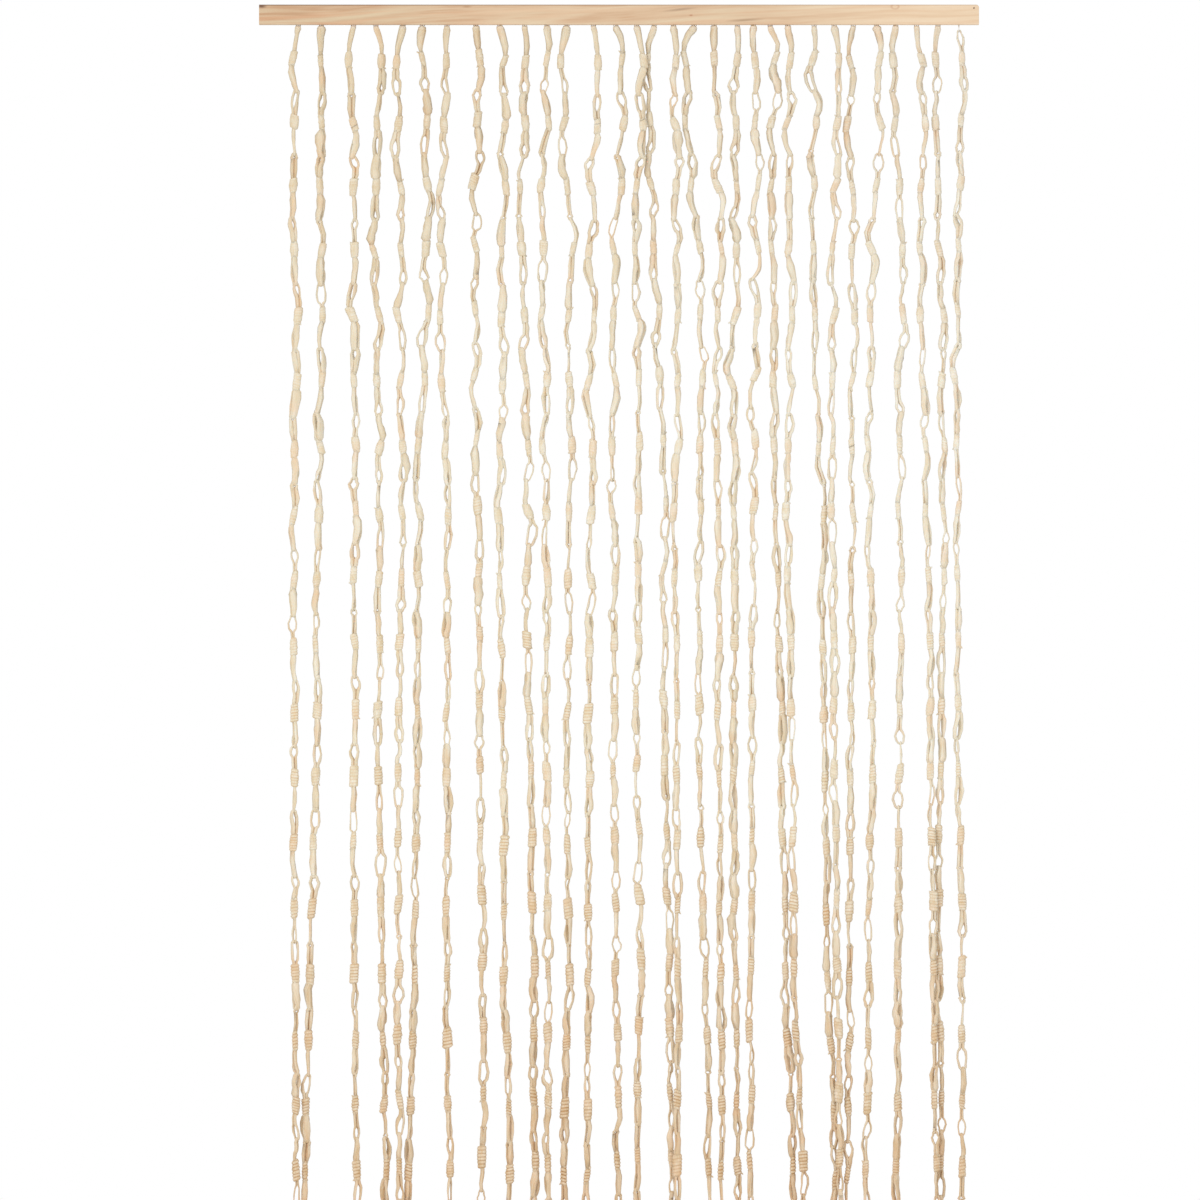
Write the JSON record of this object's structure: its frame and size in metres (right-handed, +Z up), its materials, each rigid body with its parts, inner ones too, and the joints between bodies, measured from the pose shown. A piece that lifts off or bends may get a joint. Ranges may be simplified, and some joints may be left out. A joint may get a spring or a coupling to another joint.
{
  "type": "knotted door curtain and its rail",
  "caption": "Door curtain of knotted strands of interlinked husk loops, hanging from a plain wooden rail by small wire eyes.",
  "frame": {"origin": "middle of the rail's flat back face, where it is fixed above a doorway", "axes": "+Z up, +X along the rail, +Y into the wall behind the rail; the curtain faces -Y"},
  "size_m": [0.9, 0.016, 2.0105],
  "materials": {
    "pine": "planed bare softwood, matte, long streaky grain",
    "husk": "twisted dry plant husk, matte to slightly satin, fibrous",
    "wire": "thin dull steel wire"
  },
  "bodies": {
    "root": {"rail": "pine", "strand_01": "husk", "strand_02": "husk", "strand_03": "husk", "strand_04": "husk", "strand_05": "husk", "strand_06": "husk", "strand_07": "husk", "strand_08": "husk", "strand_09": "husk", "strand_10": "husk", "strand_11": "husk", "strand_12": "husk", "strand_13": "husk", "strand_14": "husk", "strand_15": "husk", "strand_16": "husk", "strand_17": "husk", "strand_18": "husk", "strand_19": "husk", "strand_20": "husk", "strand_21": "husk", "strand_22": "husk", "strand_23": "husk", "strand_24": "husk", "strand_25": "husk", "strand_26": "husk", "strand_27": "husk", "strand_28": "husk", "strand_29": "husk", "strand_30": "husk", "strand_31": "husk"}
  },
  "joints": []
}
